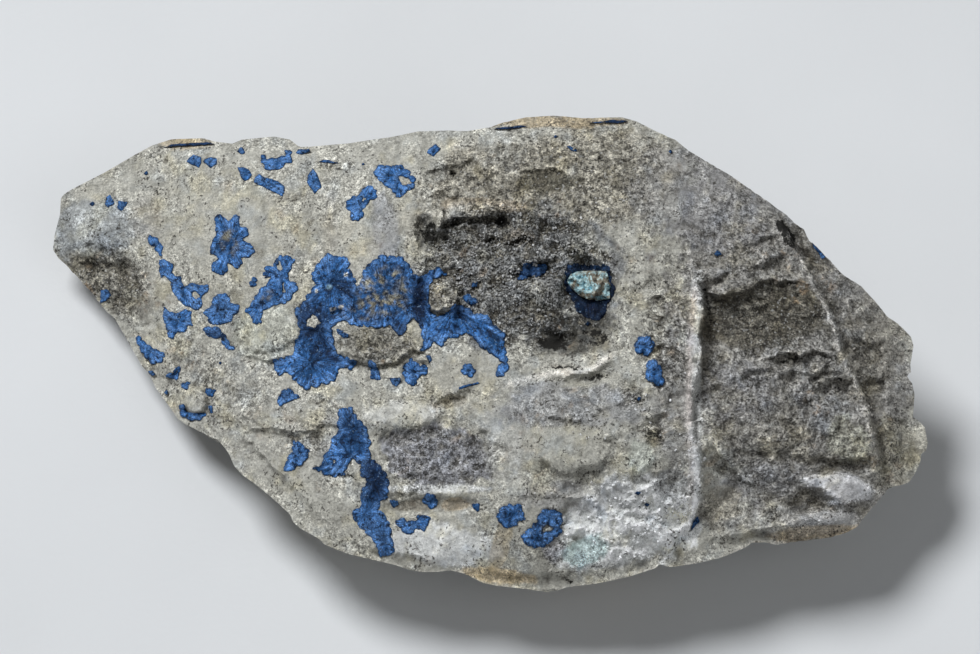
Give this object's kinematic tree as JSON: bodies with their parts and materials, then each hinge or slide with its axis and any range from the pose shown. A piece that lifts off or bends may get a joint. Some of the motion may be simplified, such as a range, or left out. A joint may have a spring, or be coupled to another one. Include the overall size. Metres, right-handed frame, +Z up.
{
  "type": "cornetite specimen",
  "caption": "Broken wedge of pale fine-grained stone with blue cornetite crusts and rosettes on its upper face, lying flat.",
  "frame": {"origin": "centre of the specimen's box, on the surface it rests on", "axes": "+X along the specimen's length, +Y to its far side, +Z up"},
  "size_m": [0.1098, 0.0612, 0.0272],
  "materials": {
    "matrix": "dull broken rock, pale buff to grey",
    "cornetite": "deep blue crystal crust, satin to glassy",
    "turquoise": "pale blue-green earthy coating"
  },
  "bodies": {
    "root": {"arrow_crust": "cornetite", "bar_crystal": "cornetite", "boot_crust": "cornetite", "broken_crust": "cornetite", "button_crust": "cornetite", "comma_crust": "cornetite", "corner_wedge": "cornetite", "eye_rosette": "cornetite", "flower_rosette": "cornetite", "hanging_strip": "cornetite", "heart_crust": "cornetite", "hollow_crust": "cornetite", "horseshoe_crust": "cornetite", "kite_crystal": "cornetite", "ledge_bead": "cornetite", "ledge_crescent": "cornetite", "ledge_drop": "cornetite", "ledge_fan": "cornetite", "left_edge_crescent": "cornetite", "left_edge_crust": "cornetite", "lone_rosette": "cornetite", "lower_chain_crust": "cornetite", "main_crust": "cornetite", "matrix_flap_fleck": "cornetite", "matrix_stone": "matrix", "near_cluster": "cornetite", "near_rosette": "cornetite", "pocket_lining": "cornetite", "ragged_outlier": "cornetite", "ragged_rosette": "cornetite", "rim_crystal": "cornetite", "round_rosette": "cornetite", "saddle_crust": "cornetite", "seam_bead": "cornetite", "seam_crust": "cornetite", "seam_square": "cornetite", "smile_brow": "cornetite", "smile_corner": "cornetite", "smile_crust": "cornetite", "square_crystal": "cornetite", "teardrop_crystal": "cornetite", "tip_crystal": "cornetite", "tip_twin": "cornetite", "turquoise_knob": "turquoise", "upper_left_crystal": "cornetite", "upper_left_twin": "cornetite", "upper_wedge": "cornetite", "vein_cluster": "cornetite", "vein_rosette": "cornetite", "winged_rosette": "cornetite"}
  },
  "joints": []
}
